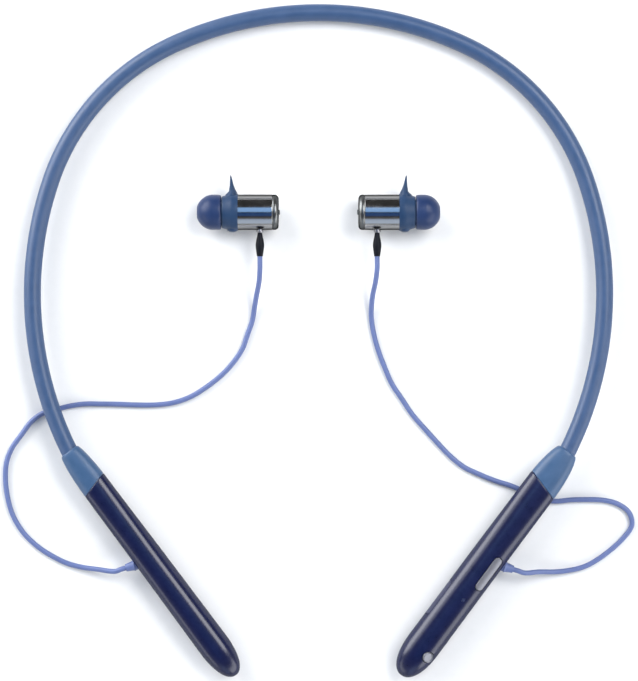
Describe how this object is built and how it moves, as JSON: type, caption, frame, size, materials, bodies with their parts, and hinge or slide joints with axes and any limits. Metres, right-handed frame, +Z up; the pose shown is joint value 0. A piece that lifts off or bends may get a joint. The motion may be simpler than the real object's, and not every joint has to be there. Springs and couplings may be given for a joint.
{
  "type": "neckband earphones",
  "caption": "Wireless neckband earphones: sprung silicone neckband, gloss pods with keys, metal magnetic earbuds on thin cords.",
  "frame": {"origin": "centre of the bottom of the object's box, without its cords, on the table it lies on", "axes": "+Z up from the table, +Y towards the crown of the neckband, +X to the right seen from above"},
  "size_m": [0.1961, 0.2083, 0.0116],
  "materials": {
    "band_silicone": "matt soft-touch silicone",
    "boot_silicone": "matt soft-touch silicone",
    "pod_gloss": "piano gloss with a metallic fleck",
    "key_metal": "satin anodised",
    "lamp_lens": "frosted light pipe",
    "barrel_metal": "polished, turned",
    "cap_metal": "polished, turned",
    "collar_metal": "satin",
    "relief_rubber": "matt moulded rubber",
    "wing_silicone": "matt silicone",
    "tip_silicone": "satin silicone",
    "nozzle_plastic": "moulded",
    "mesh_steel": "woven",
    "magnet_nickel": "nickel plated",
    "driver_steel": "zinc plated",
    "diaphragm_film": "film",
    "spring_wire": "drawn wire",
    "lead_bundle": "sheathed leads",
    "anchor_brass": "machined",
    "battery_can": "foil wrapped",
    "board_green": "solder mask",
    "module_can": "tinned can",
    "antenna_ceramic": "ceramic",
    "switch_steel": "stamped",
    "mic_can": "gilt can",
    "socket_steel": "stamped shell",
    "foam_pad": "foam",
    "flap_rubber": "matt soft-touch silicone",
    "cord_rubber": "satin TPE"
  },
  "bodies": {
    "band": {"sleeve_back": "band_silicone", "memory_wire": "spring_wire", "band_leads": "lead_bundle"},
    "left_arm": {"sleeve_left": "band_silicone", "left_wire_anchor": "anchor_brass", "left_boot": "boot_silicone", "left_pod_base": "pod_gloss", "left_pod_cover": "pod_gloss", "left_cord_gland": "cord_rubber", "battery_cell": "battery_can", "battery_board": "board_green", "battery_pad": "foam_pad", "left_cord": "cord_rubber"},
    "right_arm": {"sleeve_right": "band_silicone", "right_wire_anchor": "anchor_brass", "right_boot": "boot_silicone", "right_pod_base": "pod_gloss", "right_pod_cover": "pod_gloss", "right_cord_gland": "cord_rubber", "main_board": "board_green", "radio_module": "module_can", "antenna": "antenna_ceramic", "key_switches": "switch_steel", "microphone": "mic_can", "status_lamp": "lamp_lens", "usb_socket": "socket_steel", "right_cord": "cord_rubber"},
    "volume_rocker": {"volume_rocker": "key_metal"},
    "power_button": {"power_button": "key_metal"},
    "usb_flap": {"usb_flap": "flap_rubber"},
    "left_earbud": {"left_barrel": "barrel_metal", "left_rear_cap": "cap_metal", "left_magnet": "magnet_nickel", "left_driver": "driver_steel", "left_diaphragm": "diaphragm_film", "left_nozzle": "nozzle_plastic", "left_nozzle_mesh": "mesh_steel", "left_wing": "wing_silicone", "left_collar": "collar_metal", "left_strain_relief": "relief_rubber"},
    "right_earbud": {"right_barrel": "barrel_metal", "right_rear_cap": "cap_metal", "right_magnet": "magnet_nickel", "right_driver": "driver_steel", "right_diaphragm": "diaphragm_film", "right_nozzle": "nozzle_plastic", "right_nozzle_mesh": "mesh_steel", "right_wing": "wing_silicone", "right_collar": "collar_metal", "right_strain_relief": "relief_rubber"},
    "left_ear_tip": {"left_ear_tip": "tip_silicone"},
    "right_ear_tip": {"right_ear_tip": "tip_silicone"}
  },
  "joints": [
    {"name": "left_arm_flex", "type": "hinge", "parent": "band", "child": "left_arm", "pos_m": [-0.06814, 0.07462, 0.00331], "axis": [0, 0, -1], "range_deg": [0, 20], "stiffness_Nm_per_rad": 0.08, "deforming": ["memory_wire", "band_leads"]},
    {"name": "right_arm_flex", "type": "hinge", "parent": "band", "child": "right_arm", "pos_m": [0.06814, 0.07462, 0.00331], "axis": [0, 0, 1], "range_deg": [0, 20], "stiffness_Nm_per_rad": 0.08, "deforming": ["memory_wire", "band_leads"]},
    {"name": "left_earbud_slide", "type": "slide", "parent": "left_arm", "child": "left_earbud", "axis": [1, 0, 0], "range_m": [0, 0.0118], "deforming": ["left_cord"]},
    {"name": "left_ear_tip_pull", "type": "slide", "parent": "left_earbud", "child": "left_ear_tip", "axis": [-1, 0, 0], "range_m": [0, 0.006]},
    {"name": "right_earbud_slide", "type": "slide", "parent": "right_arm", "child": "right_earbud", "axis": [-1, 0, 0], "range_m": [0, 0.0118], "deforming": ["right_cord"]},
    {"name": "right_ear_tip_pull", "type": "slide", "parent": "right_earbud", "child": "right_ear_tip", "axis": [1, 0, 0], "range_m": [0, 0.006]},
    {"name": "volume_rocker_tilt", "type": "hinge", "parent": "right_arm", "child": "volume_rocker", "pos_m": [0.05238, -0.07194, 0.0074], "axis": [-0.8028, 0.5962, 0], "range_deg": [-2.8, 2.8], "stiffness_Nm_per_rad": 0.02},
    {"name": "power_button_press", "type": "slide", "parent": "right_arm", "child": "power_button", "axis": [-0.3769, 0.2799, -0.8829], "range_m": [0, 0.00035], "stiffness_N_per_m": 600},
    {"name": "usb_flap_swing", "type": "hinge", "parent": "right_arm", "child": "usb_flap", "pos_m": [0.03723, -0.07937, 0.0023], "axis": [-0.5962, -0.8028, 0], "range_deg": [0, 100], "stiffness_Nm_per_rad": 0.0005}
  ]
}
